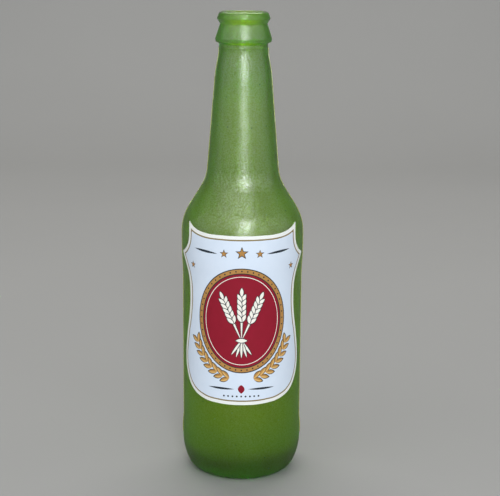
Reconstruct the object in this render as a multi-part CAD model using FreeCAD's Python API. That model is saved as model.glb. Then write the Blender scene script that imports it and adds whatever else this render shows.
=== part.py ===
import FreeCAD, Part
import BOPTools.SplitAPI
import math
import os

# A long-necked bottle of moulded glass, open and empty, with a crown-cork finish and one die-cut paper label.
# Z is the bottle's axis, it stands on z = 0, and the label faces -Y. All sizes are in millimetres.

# Heights along the axis
height = 235.0
lip_widest_z = 231.7
groove_z = 229.2
collar_z = 222.2
bead_z = 220.5
bead_foot_z = 219.7
neck_ring_z = 217.6
neck_top_z = 214.8
neck_flare_z = 205.5
neck_root_z = 152.98
shoulder_z = 132.6
panel_step_z = 114.5
panel_top_z = 106.0
panel_foot_z = 27.4
heel_ring_z = 22.4
heel_z = 10.7
push_up = 4.6
push_up_side_z = 3.2

# Outside radii
lip_radius = 13.15
rim_radius = 11.9
groove_radius = 11.58
collar_radius = 13.95
bead_radius = 13.75
neck_top_radius = 12.04
neck_flare_radius = 13.75
neck_root_radius = 18.03
shoulder_radius = 30.5
panel_radius = 29.95
heel_radius = 30.45
bearing_outer_corner = 25.7
bearing_inner_corner = 18.4
push_up_side_radius = 13.5
push_up_crown_radius = 6.0

# Fillets along the outside, from the middle of the underside to the rim
push_up_crown_fillet = 40.0
push_up_side_fillet = 16.0
bearing_inner_fillet = 3.0
bearing_outer_fillet = 8.0
heel_fillet = 30.0
heel_step_fillet = 30.0
panel_step_fillet = 100.0
shoulder_fillet = 25.0
neck_root_fillet = 20.0
neck_flare_fillet = 60.0
neck_top_fillet = 15.0
parting_fillet = 0.1
bead_foot_fillet = 0.8
bead_fillet = 0.5
collar_fillet = 0.7
groove_fillet = 1.3
lip_fillet = 0.9
rim_fillet = 1.8

# Hollow
bore_edge_fillet = 1.2
bore_radius = 8.3
bore_foot_z = 211.5
bore_foot_fillet = 30.0
neck_middle_radius = 11.7
neck_middle_z = 190.0
neck_middle_fillet = 120.0
neck_wall = 3.2
shoulder_wall = 2.8
body_radius_inside = 27.65
floor_radius_inside = 27.3
floor_z = 9.2
floor_fillet = 7.5
floor_rise_radius = 17.5
floor_rise_fillet = 12.0
floor_dome_z = 11.6
floor_dome_radius = 8.0
floor_dome_fillet = 30.0

# Mould marks
parting_ridge = 0.16
parting_half_width = 0.3
seam_height = 0.3
seam_root = 0.6
seam_thickness = 0.5
seam_foot_z = 17.5

# Label, with its outline measured round the panel from the front and up from the base
label_radius = 30.2
paper_thickness = 0.12
glue_thickness = 0.03
glue_margin = 0.985
label_middle_z = 87.0
cutter_radii = (25.0, 35.0)
label_top = [(33.2, 133.3), (27.0, 131.0), (20.0, 129.7), (10.0, 129.45), (0.0, 129.4)]
label_ear = [(40.0, 116.8), (34.5, 119.8), (31.6, 124.3), (31.5, 128.8), (33.2, 133.3)]
label_side = [
    (0.0, 42.9), (12.0, 43.2), (20.0, 44.1), (29.0, 47.8), (34.5, 54.5), (36.5, 62.0), (34.6, 75.0),
    (31.9, 86.0), (31.0, 96.0), (32.0, 104.5), (35.2, 111.5), (40.0, 116.8),
]


def at(radius, z):
    return FreeCAD.Vector(radius, 0, z)


def rounded_path(corners, grow=0.0):
    """Lines through (radius, z, fillet) corners, joined by tangent arcs; grow moves the path outwards."""
    edges = []
    points = [at(corner[0] + grow, corner[1]) for corner in corners]
    start = points[0]
    for index in range(1, len(points) - 1):
        fillet = corners[index][2]
        back = (points[index - 1] - points[index]).normalize()
        ahead = (points[index + 1] - points[index]).normalize()
        half_angle = back.getAngle(ahead) / 2
        setback = fillet / math.tan(half_angle)
        bisector = (back + ahead).normalize()
        first = points[index] + back * setback
        middle = points[index] + bisector * (fillet / math.sin(half_angle) - fillet)
        last = points[index] + ahead * setback
        edges.append(Part.LineSegment(start, first).toShape())
        edges.append(Part.Arc(first, middle, last).toShape())
        start = last
    edges.append(Part.LineSegment(start, points[-1]).toShape())
    return edges


def outside_wall():
    """Corners of the moulded wall, from the heel up to the foot of the bead."""
    return [
        (heel_radius, heel_z, heel_fillet),
        (heel_radius, heel_ring_z, heel_step_fillet),
        (panel_radius, panel_foot_z, heel_step_fillet),
        (panel_radius, panel_top_z, panel_step_fillet),
        (shoulder_radius, panel_step_z, panel_step_fillet),
        (shoulder_radius, shoulder_z, shoulder_fillet),
        (neck_root_radius, neck_root_z, neck_root_fillet),
        (neck_flare_radius, neck_flare_z, neck_flare_fillet),
        (neck_top_radius, neck_top_z, neck_top_fillet),
    ]


def base():
    """Corners of the underside: push-up, bearing ring and the turn into the heel."""
    return [
        (0.0, push_up, 0.0),
        (push_up_crown_radius, push_up, push_up_crown_fillet),
        (push_up_side_radius, push_up_side_z, push_up_side_fillet),
        (bearing_inner_corner, 0.0, bearing_inner_fillet),
        (bearing_outer_corner, 0.0, bearing_outer_fillet),
    ]


def crown_finish():
    """Corners of the neck-ring line, the bead, the collar, the groove and the lip that a crown cork grips."""
    return [
        (neck_top_radius, neck_ring_z - parting_half_width, parting_fillet),
        (neck_top_radius + parting_ridge, neck_ring_z, parting_fillet),
        (neck_top_radius, neck_ring_z + parting_half_width, parting_fillet),
        (neck_top_radius, bead_foot_z, bead_foot_fillet),
        (bead_radius, bead_z, bead_fillet),
        (collar_radius, collar_z, collar_fillet),
        (groove_radius, groove_z, groove_fillet),
        (lip_radius, lip_widest_z, lip_fillet),
        (rim_radius, height, rim_fillet),
    ]


def hollow():
    """Corners of the inside, from the rim of the bore down to the middle of the floor."""
    slope = (shoulder_radius - neck_root_radius) / (neck_root_z - shoulder_z)
    neck_slope = (neck_root_radius - neck_flare_radius) / (neck_flare_z - neck_root_z)
    wall_across = shoulder_wall * math.hypot(1.0, slope)
    shoulder_inside_z = shoulder_z + (shoulder_radius - wall_across - body_radius_inside) / slope
    root_shift = (wall_across - neck_wall) / (slope - neck_slope)
    root_inside_z = neck_root_z - root_shift
    root_inside_radius = neck_root_radius + neck_slope * root_shift - neck_wall
    return [
        (bore_radius, height, bore_edge_fillet),
        (bore_radius, bore_foot_z, bore_foot_fillet),
        (neck_middle_radius, neck_middle_z, neck_middle_fillet),
        (root_inside_radius, root_inside_z, neck_root_fillet + neck_wall),
        (body_radius_inside, shoulder_inside_z, shoulder_fillet - shoulder_wall),
        (floor_radius_inside, floor_z, floor_fillet),
        (floor_rise_radius, floor_z, floor_rise_fillet),
        (floor_dome_radius, floor_dome_z, floor_dome_fillet),
        (0.0, floor_dome_z, 0.0),
    ]


def strip_between(corners, inner_grow, outer_grow):
    """The flat strip between two copies of a path, one moved in and one moved out."""
    inner = rounded_path(corners, inner_grow)
    outer = rounded_path(corners, outer_grow)
    foot = Part.LineSegment(inner[0].firstVertex().Point, outer[0].firstVertex().Point).toShape()
    top = Part.LineSegment(outer[-1].lastVertex().Point, inner[-1].lastVertex().Point).toShape()
    return Part.Face(Part.Wire(Part.__sortEdges__(inner + outer + [foot, top])))


def mould_seams():
    """The two thin raised lines where the halves of the mould met, on the +X and -X sides."""
    corners = [(heel_radius, seam_foot_z, 0.0)] + outside_wall()[1:] + [(neck_top_radius, neck_ring_z, 0.0)]
    strip = strip_between(corners, -seam_root, seam_height)
    strip.translate(FreeCAD.Vector(0, -seam_thickness / 2, 0))
    right = strip.extrude(FreeCAD.Vector(0, seam_thickness, 0))
    left = right.copy()
    left.rotate(FreeCAD.Vector(0, 0, 0), FreeCAD.Vector(0, 0, 1), 180)
    return [right, left]


def glass_bottle():
    """The one-piece moulding: a turned wall with its mould seams."""
    profile = rounded_path(base() + outside_wall() + crown_finish() + hollow())
    axis = Part.LineSegment(at(0, floor_dome_z), at(0, push_up)).toShape()
    section = Part.Face(Part.Wire(profile + [axis]))
    body = section.revolve(FreeCAD.Vector(0, 0, 0), FreeCAD.Vector(0, 0, 1), 360)
    return body.fuse(mould_seams())


def mirrored(points):
    """The same stretch of outline on the other side of the label, running the other way."""
    return [(-across, z) for across, z in reversed(points)]


def die_cut(scale):
    """A shell of radial cuts through the wall along the label's outline, scaled about the label's middle."""
    sides = mirrored(label_side) + label_side[1:]
    top = label_top + mirrored(label_top)[1:]
    cuts = []
    for stretch in (sides, label_ear, top, mirrored(label_ear)):
        points = []
        lengths = [0.0]
        for across, z in stretch:
            angle = math.pi + scale * across / label_radius
            points.append(FreeCAD.Base.Vector2d(angle, label_middle_z + scale * (z - label_middle_z)))
        for first, second in zip(stretch, stretch[1:]):
            lengths.append(lengths[-1] + math.dist(first, second))
        curve = Part.Geom2d.BSplineCurve2d()
        curve.interpolate(Points=points, Parameters=lengths)
        rims = []
        for radius in cutter_radii:
            drum = Part.Cylinder()
            drum.Radius = radius
            rims.append(curve.toShape(drum))
        cuts.append(Part.makeRuledSurface(*rims))
    return Part.makeShell(cuts)


def wrapped_sheet(gap, thickness, scale):
    """A sheet of even thickness lying on the bottle's wall in front, cut to the label's outline."""
    section = strip_between(outside_wall()[1:-1], gap, gap + thickness)
    sleeve = section.revolve(FreeCAD.Vector(0, 0, 0), FreeCAD.Vector(0, 0, 1), 360)
    pieces = BOPTools.SplitAPI.slice(sleeve, [die_cut(scale)], "Split").Solids
    sheet = min(pieces, key=lambda piece: max(vertex.Z for vertex in piece.Vertexes))
    sheet.rotate(FreeCAD.Vector(0, 0, 0), FreeCAD.Vector(0, 0, 1), 90)
    return sheet


os.makedirs("parts", exist_ok=True)
pieces = {
    "glass_bottle": glass_bottle(),
    "label_adhesive": wrapped_sheet(0.0, glue_thickness, glue_margin),
    "front_label": wrapped_sheet(glue_thickness, paper_thickness, 1.0),
}
for name, shape in pieces.items():
    solid = shape.Solids[0]
    print(name, len(shape.Solids), shape.isValid(), round(solid.Volume, 1), solid.BoundBox)
    solid.exportStep("parts/" + name + ".step")
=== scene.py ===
import math

import bmesh
import bpy
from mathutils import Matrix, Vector
from mathutils.geometry import delaunay_2d_cdt


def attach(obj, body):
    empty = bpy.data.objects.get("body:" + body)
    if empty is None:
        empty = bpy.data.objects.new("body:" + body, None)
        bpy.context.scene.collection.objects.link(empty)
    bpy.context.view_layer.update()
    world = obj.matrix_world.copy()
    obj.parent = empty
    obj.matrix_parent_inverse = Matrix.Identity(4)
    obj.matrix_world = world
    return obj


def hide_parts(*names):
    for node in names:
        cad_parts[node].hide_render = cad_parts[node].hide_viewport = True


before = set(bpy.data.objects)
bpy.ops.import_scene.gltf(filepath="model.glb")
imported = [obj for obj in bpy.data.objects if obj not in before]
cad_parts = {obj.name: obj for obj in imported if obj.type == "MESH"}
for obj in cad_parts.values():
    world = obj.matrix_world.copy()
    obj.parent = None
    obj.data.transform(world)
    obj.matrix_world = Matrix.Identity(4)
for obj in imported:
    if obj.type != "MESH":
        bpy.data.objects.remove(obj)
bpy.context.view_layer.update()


# Glass bottle
# One moulding of olive green soda-lime glass, blown in a two-part mould and etched all over outside,
# so that it glows where light passes through it and scatters its highlights.


def linear(code):
    """A colour written as sRGB hex, as linear red, green, blue and a full alpha."""
    parts = [int(code[start:start + 2], 16) / 255 for start in (1, 3, 5)]
    return [part / 12.92 if part <= 0.04045 else ((part + 0.055) / 1.055) ** 2.4 for part in parts] + [1.0]


def add_node(tree, kind, inputs=None, **settings):
    """A new node with its settings, and its inputs set to values or linked from sockets."""
    made = tree.nodes.new(kind)
    for name, value in settings.items():
        setattr(made, name, value)
    for name, value in (inputs or {}).items():
        if isinstance(value, bpy.types.NodeSocket):
            tree.links.new(value, made.inputs[name])
        else:
            made.inputs[name].default_value = value
    return made


def new_material(name):
    """An empty node material with its output node."""
    material = bpy.data.materials.new(name)
    material.use_nodes = True
    material.node_tree.nodes.clear()
    return material, material.node_tree, add_node(material.node_tree, "ShaderNodeOutputMaterial")


glass_ior = 1.52
glass_density = 310.0
etch_grain = 0.0007
etch_depth = 0.0002
pit_spacing = 0.0065
seed_spacing = 0.007
dot_core = 0.035

# What changes with height: two heights in metres, and the value below the first and above the second
height_shares = {
    # painted glow: the finish at the top is drawn paler, standing in for light shining through it
    "painted glow at the finish": (0.218, 0.231, 0.0, 0.95),
    "etch coarseness": (0.1, 0.14, 0.3, 1.0),
    "skin": (0.08, 0.14, 0.115, 0.32),
    "skin left at the lip": (0.228, 0.23, 1.0, 0.65),
    "satin left at the lip": (0.228, 0.23, 1.0, 0.6),
}

# Satin-etched soda-lime glass: the etch blurs what is behind, and its outer skin, drawn as the coat, breaks
# highlights into specks. The melt's iron and chrome darken it with depth, so the thick base is deeper green.
# Dark pits and pale seeds are sparse. The grain is drawn coarser than the etch, which is too fine to show.
etched_glass, tree, output = new_material("satin etched green glass")
place = add_node(tree, "ShaderNodeTexCoord").outputs["Object"]
rise = add_node(tree, "ShaderNodeSeparateXYZ", {"Vector": place})
shares = {}
for name, (low, high, below, above) in height_shares.items():
    shared = add_node(tree, "ShaderNodeMapRange", {
        "Value": rise.outputs["Z"], "From Min": low, "From Max": high, "To Min": below, "To Max": above})
    shares[name] = shared.outputs["Result"]
grain = add_node(tree, "ShaderNodeTexNoise", {"Vector": place, "Scale": 1 / etch_grain, "Detail": 2.0})
speck = add_node(tree, "ShaderNodeMapRange", {
    "Value": grain.outputs["Fac"], "From Min": 0.3, "From Max": 0.7})
melt = add_node(tree, "ShaderNodeMix", {
    "Factor": speck.outputs["Result"], "A": linear("#dad63a"), "B": linear("#f8f35e")}, data_type="RGBA")
for spacing, dot_rim, strength, colour in (
        (pit_spacing, 0.065, 0.85, "#5f8436"), (seed_spacing, 0.07, 1.0, "#f4fbb0")):
    dots = add_node(tree, "ShaderNodeTexVoronoi", {"Vector": place, "Scale": 1 / spacing})
    dotted = add_node(tree, "ShaderNodeMapRange", {
        "Value": dots.outputs["Distance"], "From Min": dot_core, "From Max": dot_rim,
        "To Min": strength, "To Max": 0.0})
    melt = add_node(tree, "ShaderNodeMix", {
        "Factor": dotted.outputs["Result"], "A": melt.outputs["Result"], "B": linear(colour)},
        data_type="RGBA")
# Painted glow: from the bead up to the lip the glass is drawn paler and yellower, standing in for light that
# shines through the solid finish
melt = add_node(tree, "ShaderNodeMix", {
    "Factor": shares["painted glow at the finish"], "A": melt.outputs["Result"], "B": linear("#ffff68")}, data_type="RGBA")
glint = add_node(tree, "ShaderNodeMapRange", {
    "Value": grain.outputs["Fac"], "From Min": 0.35, "From Max": 0.65, "To Min": 0.35, "To Max": 1.65})
even_skin = add_node(tree, "ShaderNodeMath", {
    0: shares["skin"], 1: shares["skin left at the lip"]}, operation="MULTIPLY")
skin = add_node(tree, "ShaderNodeMath", {
    0: even_skin.outputs["Value"], 1: glint.outputs["Result"]}, operation="MULTIPLY", use_clamp=True)
etch = add_node(tree, "ShaderNodeMath", {
    0: grain.outputs["Fac"], 1: shares["etch coarseness"]}, operation="MULTIPLY")
satin = add_node(tree, "ShaderNodeMapRange", {"Value": grain.outputs["Fac"], "To Min": 0.54, "To Max": 0.64})
rough = add_node(tree, "ShaderNodeMath", {
    0: satin.outputs["Result"], 1: shares["satin left at the lip"]}, operation="MULTIPLY")
soft_bump = add_node(tree, "ShaderNodeBump", {
    "Height": etch.outputs["Value"], "Strength": 0.25, "Distance": etch_depth})
skin_bump = add_node(tree, "ShaderNodeBump", {
    "Height": etch.outputs["Value"], "Strength": 0.65, "Distance": etch_depth})
surface = add_node(tree, "ShaderNodeBsdfPrincipled", {
    "Base Color": melt.outputs["Result"], "Roughness": rough.outputs["Value"], "IOR": glass_ior,
    "Transmission Weight": 0.98, "Specular Tint": linear("#a0ce58"), "Normal": soft_bump.outputs["Normal"],
    "Coat Weight": skin.outputs["Value"], "Coat IOR": 3.3, "Coat Roughness": 0.29,
    "Coat Normal": skin_bump.outputs["Normal"]})
depth = add_node(tree, "ShaderNodeVolumeAbsorption", {"Color": linear("#b6f068"), "Density": glass_density})
tree.links.new(surface.outputs["BSDF"], output.inputs["Surface"])
tree.links.new(depth.outputs["Volume"], output.inputs["Volume"])

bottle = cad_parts["glass_bottle"]
bottle.data.materials.clear()
bottle.data.materials.append(etched_glass)


# Label glue
# A thin film of casein glue, combed on by the labelling machine and dried to a pale skin.
# It holds the label to the bottle's wall and shows only through the glass.
glue_ridge = 0.0025
wave_node_pace = 20

# Dried casein glue: a dull cream film, a little paler along the ridges that the comb left. The wave node runs
# through its scale times its pace in radians a metre.
dried_glue, tree, output = new_material("dried casein glue")
place = add_node(tree, "ShaderNodeTexCoord").outputs["Object"]
combed = add_node(tree, "ShaderNodeTexWave", {
    "Vector": place, "Scale": 2 * math.pi / wave_node_pace / glue_ridge, "Distortion": 2.0},
    bands_direction="Z")
pale = add_node(tree, "ShaderNodeMix", {
    "Factor": combed.outputs["Fac"], "A": linear("#c9c5ab"), "B": linear("#ddd9c4")}, data_type="RGBA")
surface = add_node(tree, "ShaderNodeBsdfPrincipled", {"Base Color": pale.outputs["Result"], "Roughness": 0.6})
tree.links.new(surface.outputs["BSDF"], output.inputs["Surface"])

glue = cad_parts["label_adhesive"]
glue.data.materials.clear()
glue.data.materials.append(dried_glue)


# Front label
# A die-cut sheet of coated paper, printed in flat inks and wet-glued round the front of the bottle, from
# the panel up on to the shoulder. Its print is plain ornament: a red oval with a sheaf, sprays and stars.


def wall_radius(z):
    """The bottle's outside radius under the label, in mm: the panel, its gentle step and the shoulder."""
    panel, step_bend, shoulder_bend, shoulder_foot = 29.95, 100.0, 25.0, 125.56
    # Heights where the step's two arcs start and end, and which way the wall bends from there
    ramps = ((102.77, 1), (109.22, -1), (111.28, -1), (117.73, 1))
    step = sum(sign * max(z - start, 0.0) ** 2 for start, sign in ramps) / (2 * step_bend)
    turned_in = shoulder_bend - math.sqrt(shoulder_bend ** 2 - max(z - shoulder_foot, 0.0) ** 2)
    return panel + step - turned_in


def oval(middle, half_width, half_height, corners):
    """An oval round a middle point."""
    rim = []
    for corner in range(corners):
        turn = 2 * math.pi * corner / corners
        rim.append((middle[0] + half_width * math.cos(turn), middle[1] + half_height * math.sin(turn)))
    return rim


def blade(foot, lean, length, width, left_share=1.0):
    """A leaf with a point at each end, leaning clockwise from upright; left_share thins its left half."""
    steps = 8
    fullness = 0.8
    rim = []
    for side, order in ((1.0, range(steps)), (-left_share, range(steps, 0, -1))):
        for step in order:
            along = length * step / steps
            across = side * width / 2 * math.sin(math.pi * step / steps) ** fullness
            rim.append((
                foot[0] + along * math.sin(lean) + across * math.cos(lean),
                foot[1] + along * math.cos(lean) - across * math.sin(lean),
            ))
    return rim


def star(middle, reach):
    """A five-pointed star with one point up."""
    notch_share = 0.42
    rim = []
    for corner in range(10):
        turn = math.pi / 2 + math.pi * corner / 5
        radius = reach * (notch_share if corner % 2 else 1.0)
        rim.append((middle[0] + radius * math.cos(turn), middle[1] + radius * math.sin(turn)))
    return rim


def inset(outline, depth):
    """The outline drawn again inside itself at an even depth, without the points that come too near it."""
    nearest = 0.985 * depth
    drawn = []
    for before, point, after in zip(outline[-1:] + outline[:-1], outline, outline[1:] + outline[:1]):
        run = Vector(after) - Vector(before)
        inside = Vector(point) + depth * Vector((-run.y, run.x)).normalized()
        if all((inside - Vector(other)).length > nearest for other in outline):
            drawn.append(tuple(inside))
    return drawn


def mirrored(shape):
    """The same shape on the other side of the label's middle line."""
    return [(-across, z) for across, z in reversed(shape)]


# The die's outline, in mm round the panel and up from the base: its right half, with a horn and an ear.
die_corners = [(40.0, 116.8), (33.2, 133.3)]
die_right = [
    (0.0, 42.9), (12.0, 43.2), (20.0, 44.1), (29.0, 47.8), (34.5, 54.5), (36.5, 62.0), (34.6, 75.0),
    (31.9, 86.0), (31.0, 96.0), (32.0, 104.5), (35.2, 111.5), (40.0, 116.8), (34.5, 119.8), (31.6, 124.3),
    (31.5, 128.8), (33.2, 133.3), (27.0, 131.0), (20.0, 129.7), (10.0, 129.45), (0.0, 129.4),
]
die_points = die_right + mirrored(die_right)[1:-1]
die_curve = bpy.data.curves.new("die_outline", "CURVE")
die_curve.resolution_u = 8
die_spline = die_curve.splines.new("BEZIER")
die_spline.bezier_points.add(len(die_points) - 1)
die_spline.use_cyclic_u = True
for knot, (across, z) in zip(die_spline.bezier_points, die_points):
    knot.co = (across, z, 0.0)
    sharp = (abs(across), z) in die_corners
    knot.handle_left_type = knot.handle_right_type = "VECTOR" if sharp else "AUTO"
die_holder = bpy.data.objects.new("die_outline", die_curve)
die_mesh = bpy.data.meshes.new_from_object(die_holder)
die_outline = [tuple(vertex.co.xy) for vertex in die_mesh.vertices]
bpy.data.objects.remove(die_holder)
bpy.data.curves.remove(die_curve)
bpy.data.meshes.remove(die_mesh)

# Coated label paper and its inks: matt, with faint mottling where the ink sank in, over a fibre grain that is
# drawn coarser than the real one, which is too fine to show.
fibre = 0.0007
fibre_depth = 0.00005
mottle_size = 0.004
inks = {
    "coated label paper": ("#d9dcd8", "#e2e4e0"),
    "tan line ink": ("#776843", "#85764e"),
    "pale blue ground ink": ("#c6d3e1", "#cfd9e5"),
    "blue-black line ink": ("#18222b", "#232d35"),
    "ochre gold ink": ("#a1753b", "#b0854a"),
    "pale gold ink": ("#c79d5a", "#d3ab69"),
    "deep red ink": ("#7e0a1f", "#8b1029"),
    "cream ink": ("#dfdcd1", "#e7e4da"),
}
ink_numbers = {name: number for number, name in enumerate(inks)}
print_materials = []
for name, (first, second) in inks.items():
    printed, tree, output = new_material(name)
    place = add_node(tree, "ShaderNodeTexCoord").outputs["Object"]
    mottle = add_node(tree, "ShaderNodeTexNoise", {"Vector": place, "Scale": 1 / mottle_size, "Detail": 6.0})
    grain = add_node(tree, "ShaderNodeTexNoise", {"Vector": place, "Scale": 1 / fibre, "Detail": 2.0})
    shade = add_node(tree, "ShaderNodeMix", {
        "Factor": mottle.outputs["Fac"], "A": linear(first), "B": linear(second)}, data_type="RGBA")
    rough = add_node(tree, "ShaderNodeMapRange", {
        "Value": mottle.outputs["Fac"], "To Min": 0.7, "To Max": 0.82})
    bump = add_node(tree, "ShaderNodeBump", {
        "Height": grain.outputs["Fac"], "Strength": 0.2, "Distance": fibre_depth})
    surface = add_node(tree, "ShaderNodeBsdfPrincipled", {
        "Base Color": shade.outputs["Result"], "Roughness": rough.outputs["Result"],
        "Specular IOR Level": 0.25, "Normal": bump.outputs["Normal"]})
    tree.links.new(surface.outputs["BSDF"], output.inputs["Surface"])
    print_materials.append(printed)

# The print, in mm on the flat sheet, as shapes in the order that they are laid down.
line_inset = 1.7
ground_inset = 2.4
print_plan = [
    ("coated label paper", die_outline),
    ("tan line ink", inset(die_outline, line_inset)),
    ("pale blue ground ink", inset(die_outline, ground_inset)),
]

# Nested ovals, each taller than wide by the same amount, with a ring of dark beads on the gold one
oval_middle = (0.0, 86.5)
oval_rise = 3.5
oval_corners = 96
for ink, half_width in (
        ("blue-black line ink", 23.4), ("ochre gold ink", 22.9), ("blue-black line ink", 20.9),
        ("deep red ink", 20.4), ("cream ink", 19.2), ("deep red ink", 18.85)):
    print_plan.append((ink, oval(oval_middle, half_width, half_width + oval_rise, oval_corners)))
bead_count = 48
bead_ring = (21.9, 25.4)
bead_radius = 0.42
dot_corners = 8
for point in oval(oval_middle, *bead_ring, bead_count):
    print_plan.append(("blue-black line ink", oval(point, bead_radius, bead_radius, dot_corners)))

# A sheaf of three ears tied at the middle, each grain and straw in cream with a dark edge
sheaf_tie = (0.0, 76.5)
straw_leans = (-0.6, -0.3, 0.3, 0.6, 0.0)
straw_length, straw_width = 9.0, 1.1
ear_leans = (-0.42, 0.42, 0.0)
stem_length, stem_width = 24.0, 1.0
grain_start, grain_step = 9.5, 2.6
grain_length, grain_width = 4.4, 1.7
grain_spread = math.radians(28)
top_grain = 5
band_length, band_width = 5.6, 2.0
sheaf = [(sheaf_tie, math.pi + lean, straw_length, straw_width) for lean in straw_leans]
for lean in ear_leans:
    sheaf.append((sheaf_tie, lean, stem_length, stem_width))
    for pair in range(top_grain, -1, -1):
        reach = grain_start + grain_step * pair
        foot = (sheaf_tie[0] + reach * math.sin(lean), sheaf_tie[1] + reach * math.cos(lean))
        spreads = (0.0,) if pair == top_grain else (grain_spread, -grain_spread)
        sheaf += [(foot, lean + spread, grain_length, grain_width) for spread in spreads]
sheaf.append(((-band_length / 2, sheaf_tie[1]), math.radians(90), band_length, band_width))
dark_edge = 0.4
for foot, lean, length, width in sheaf:
    dark_foot = (foot[0] - dark_edge * math.sin(lean), foot[1] - dark_edge * math.cos(lean))
    dark_blade = blade(dark_foot, lean, length + 2 * dark_edge, width + 2 * dark_edge)
    print_plan.append(("blue-black line ink", dark_blade))
    print_plan.append(("cream ink", blade(foot, lean, length, width)))

# Two sprays of leaves round the oval's foot, in gold with dark edges and a pale half
spray_width, spray_height = 26.9, 30.4
spray_start, spray_step = -77, 7.2
spray_pairs = 8
outer_lean, inner_lean = 0.62, 0.5
spray_leaves = []
for pair in range(spray_pairs):
    turn = math.radians(spray_start + spray_step * pair)
    foot = (spray_width * math.cos(turn), oval_middle[1] + spray_height * math.sin(turn))
    lean = math.atan2(-spray_width * math.sin(turn), spray_height * math.cos(turn))
    spray_leaves += [(foot, lean + outer_lean), (foot, lean - inner_lean)]
for ink, length, width, share in (
        ("blue-black line ink", 5.6, 2.6, 1.0),
        ("ochre gold ink", 5.0, 1.9, 1.0),
        ("pale gold ink", 5.0, 1.9, 0.0)):
    for foot, lean in spray_leaves:
        leaf = blade(foot, lean, length, width, share)
        print_plan += [(ink, leaf), (ink, mirrored(leaf))]

# Stars and tapered rules above and below the oval, with a red drop and a row of dots at the label's foot
star_core = 0.72
for across, z, reach in (
        (0.0, 120.9, 3.4), (8.8, 120.4, 2.3), (-8.8, 120.4, 2.3), (27.6, 112.4, 2.0), (-27.6, 112.4, 2.0)):
    print_plan.append(("blue-black line ink", star((across, z), reach)))
    print_plan.append(("ochre gold ink", star((across, z), star_core * reach)))
for foot, lean, length, width in (((12.2, 120.2), 1.5, 14.0, 1.2), ((3.4, 51.2), 1.57, 14.0, 1.1)):
    rule = blade(foot, lean, length, width)
    print_plan += [("blue-black line ink", rule), ("blue-black line ink", mirrored(rule))]
drop_foot = (0.0, 48.9)
drop_length, drop_width = 4.6, 3.4
print_plan.append(("deep red ink", blade(drop_foot, 0.0, drop_length, drop_width)))
dot_pitch, dot_rise, dot_radius = 2.2, 47.4, 0.5
side_dots = 4
for dot in range(-side_dots, side_dots + 1):
    round_dot = oval((dot_pitch * dot, dot_rise), dot_radius, dot_radius, dot_corners)
    print_plan.append(("blue-black line ink", round_dot))

# The sheet is cut along every shape's edge, and each bit takes the ink that was laid on it last.
inside_only = 1
weld = 0.0001
plan_points = []
plan_faces = []
for ink, shape in print_plan:
    plan_faces.append(list(range(len(plan_points), len(plan_points) + len(shape))))
    plan_points += [Vector(point) for point in shape]
points, _, faces, _, _, laid = delaunay_2d_cdt(plan_points, [], plan_faces, inside_only, weld)
sheet = bmesh.new()
corners = [sheet.verts.new((point.x, 0.0, point.y)) for point in points]
for face, layers in zip(faces, laid):
    bit = sheet.faces.new([corners[corner] for corner in face])
    bit.material_index = ink_numbers[print_plan[max(layers)][0]]

# Sliced fine enough to bend smoothly, then wrapped on the wall and given the paper's thickness
label_radius = 30.2
glue_thickness = 0.03
paper_thickness = 0.1
slice_width = 1.2
side_slices = 34
slice_rows = 24
top_row = 133.0
cut_tolerance = 0.0005
sharp_edge = math.radians(40)
cuts = [((slice_width * number, 0, 0), (1, 0, 0)) for number in range(-side_slices, side_slices + 1)]
cuts += [((0, 0, top_row - slice_width * number), (0, 0, 1)) for number in range(slice_rows)]
for cut_place, cut_direction in cuts:
    bmesh.ops.bisect_plane(
        sheet, geom=sheet.verts[:] + sheet.edges[:] + sheet.faces[:], dist=cut_tolerance,
        plane_co=cut_place, plane_no=cut_direction)
front = bmesh.ops.extrude_face_region(sheet, geom=sheet.faces[:], use_keep_orig=True)["geom"]
front_corners = {item for item in front if isinstance(item, bmesh.types.BMVert)}
front_faces = {item for item in front if isinstance(item, bmesh.types.BMFace)}
for corner in sheet.verts:
    lift = glue_thickness + (paper_thickness if corner in front_corners else 0.0)
    radius = (wall_radius(corner.co.z) + lift) / 1000
    turn = corner.co.x / label_radius
    corner.co = (radius * math.sin(turn), -radius * math.cos(turn), corner.co.z / 1000)
for face in sheet.faces:
    if face not in front_faces:
        face.material_index = ink_numbers["coated label paper"]
    face.smooth = True
bmesh.ops.recalc_face_normals(sheet, faces=sheet.faces[:])
label_data = bpy.data.meshes.new("printed_label")
sheet.to_mesh(label_data)
sheet.free()
label_data.set_sharp_from_angle(angle=sharp_edge)
for printed in print_materials:
    label_data.materials.append(printed)
label = bpy.data.objects.new("printed_label", label_data)
bpy.context.scene.collection.objects.link(label)
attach(label, "root")
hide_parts("front_label")


# Stage
# A sweep of light grey studio paper: a level floor that turns up into a backdrop. Soft boxes light it plainly
# from the front, the sides, above and behind, and the camera stands where the photograph was taken.
floor_half_width = 3.0
floor_front = -3.0
sweep_start = 0.9
sweep_radius = 0.5
sweep_steps = 24
backdrop_top = 2.4

floor_mesh = bmesh.new()
floor_corners = [floor_mesh.verts.new((side * floor_half_width, floor_front, 0.0)) for side in (-1, 1)]
edge = [floor_mesh.edges.new(floor_corners)]


def pull(edge, offset):
    """The sheet's free edge pulled on by an offset."""
    pulled = bmesh.ops.extrude_edge_only(floor_mesh, edges=edge)["geom"]
    corners = [item for item in pulled if isinstance(item, bmesh.types.BMVert)]
    bmesh.ops.translate(floor_mesh, verts=corners, vec=offset)
    return [item for item in pulled if isinstance(item, bmesh.types.BMEdge)]


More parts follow.
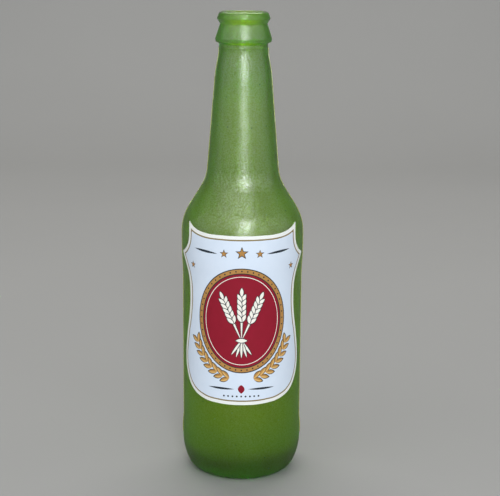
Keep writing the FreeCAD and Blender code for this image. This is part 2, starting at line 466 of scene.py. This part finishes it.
edge = pull(edge, (0.0, sweep_start - floor_front, 0.0))
turned = bmesh.ops.spin(
    floor_mesh, geom=edge, cent=(0, sweep_start, sweep_radius), axis=(1, 0, 0), angle=math.radians(90),
    steps=sweep_steps)
edge = [item for item in turned["geom_last"] if isinstance(item, bmesh.types.BMEdge)]
pull(edge, (0.0, 0.0, backdrop_top - sweep_radius))
for face in floor_mesh.faces:
    face.smooth = True
bmesh.ops.recalc_face_normals(floor_mesh, faces=floor_mesh.faces[:])
floor_data = bpy.data.meshes.new("floor")
floor_mesh.to_mesh(floor_data)
floor_mesh.free()
floor = bpy.data.objects.new("floor", floor_data)
bpy.context.scene.collection.objects.link(floor)

# Studio paper: uncoated and matt, with a faintly uneven tone, so it takes a soft shadow and no shine.
mottles_per_metre = 3.0
paper_floor, tree, output = new_material("matt grey studio paper")
place = add_node(tree, "ShaderNodeTexCoord").outputs["Object"]
mottle = add_node(tree, "ShaderNodeTexNoise", {"Vector": place, "Scale": mottles_per_metre, "Detail": 4.0})
tone = add_node(tree, "ShaderNodeMix", {
    "Factor": mottle.outputs["Fac"], "A": linear("#888886"), "B": linear("#8e8e8c")}, data_type="RGBA")
surface = add_node(tree, "ShaderNodeBsdfPrincipled", {"Base Color": tone.outputs["Result"], "Roughness": 0.8})
tree.links.new(surface.outputs["BSDF"], output.inputs["Surface"])
floor_data.materials.append(paper_floor)

room_light = 0.3
world = bpy.data.worlds.new("studio")
world.use_nodes = True
bpy.context.scene.world = world
world.node_tree.nodes["Background"].inputs["Color"].default_value = linear("#f0f2f4")
world.node_tree.nodes["Background"].inputs["Strength"].default_value = room_light


def soft_light(name, place, target, size, power, tint):
    """A round soft box at a place, turned to face a target; size is its width and height."""
    lamp = bpy.data.lights.new(name, "AREA")
    lamp.shape = "ELLIPSE"
    lamp.size, lamp.size_y = size
    lamp.energy = power
    lamp.color = linear(tint)[:3]
    holder = bpy.data.objects.new(name, lamp)
    holder.location = place
    holder.rotation_euler = (Vector(place) - Vector(target)).to_track_quat("Z", "Y").to_euler()
    bpy.context.scene.collection.objects.link(holder)


# The key and the window make the narrow highlights, the wide boxes fill in, and the back one glows through
key_reach = 1.3
key_rise = math.radians(28)
key_turn = math.radians(8)
key_foot = 0.15
key_place = (
    key_reach * math.cos(key_rise) * math.sin(key_turn),
    -key_reach * math.cos(key_rise) * math.cos(key_turn),
    key_foot + key_reach * math.sin(key_rise),
)
soft_light("key", key_place, (0, 0, 0.13), (0.18, 0.18), 4.7, "#f6faff")
soft_light("window", (0.11, -1.45, 0.45), (0, 0, 0.17), (0.48, 0.4), 5.6, "#f6faff")
soft_light("front", (0.1, -1.5, 0.9), (0.1, 0, 0.9), (3.8, 1.9), 11.2, "#fbfcff")
soft_light("left", (-1.6, -0.6, 0.6), (0, 0, 0.3), (2.4, 1.6), 5.5, "#fdfdff")
soft_light("right", (1.6, -0.6, 0.6), (0, 0, 0.3), (2.4, 1.6), 7.0, "#fdfdff")
soft_light("top", (-0.25, -1.0, 1.5), (0, 0, 0.15), (2.8, 1.2), 9.6, "#fdfdff")
soft_light("back", (0.0, 0.75, 1.5), (0, 0, 0.2), (2.0, 1.0), 20.5, "#fffdfa")

image_width = 500
focal_pixels = 1300
camera_pitch = 13.5
camera_roll = 0.42
camera_data = bpy.data.cameras.new("camera")
camera_data.sensor_width = 36.0
camera_data.lens = camera_data.sensor_width * focal_pixels / image_width
camera = bpy.data.objects.new("camera", camera_data)
camera.location = (0.00387, -0.6431, 0.2708)
camera.rotation_euler = (math.radians(90 - camera_pitch), 0.0, 0.0)
camera.rotation_euler.rotate_axis("Z", math.radians(camera_roll))
bpy.context.scene.collection.objects.link(camera)
bpy.context.scene.camera = camera
bpy.context.scene.view_settings.view_transform = "Standard"
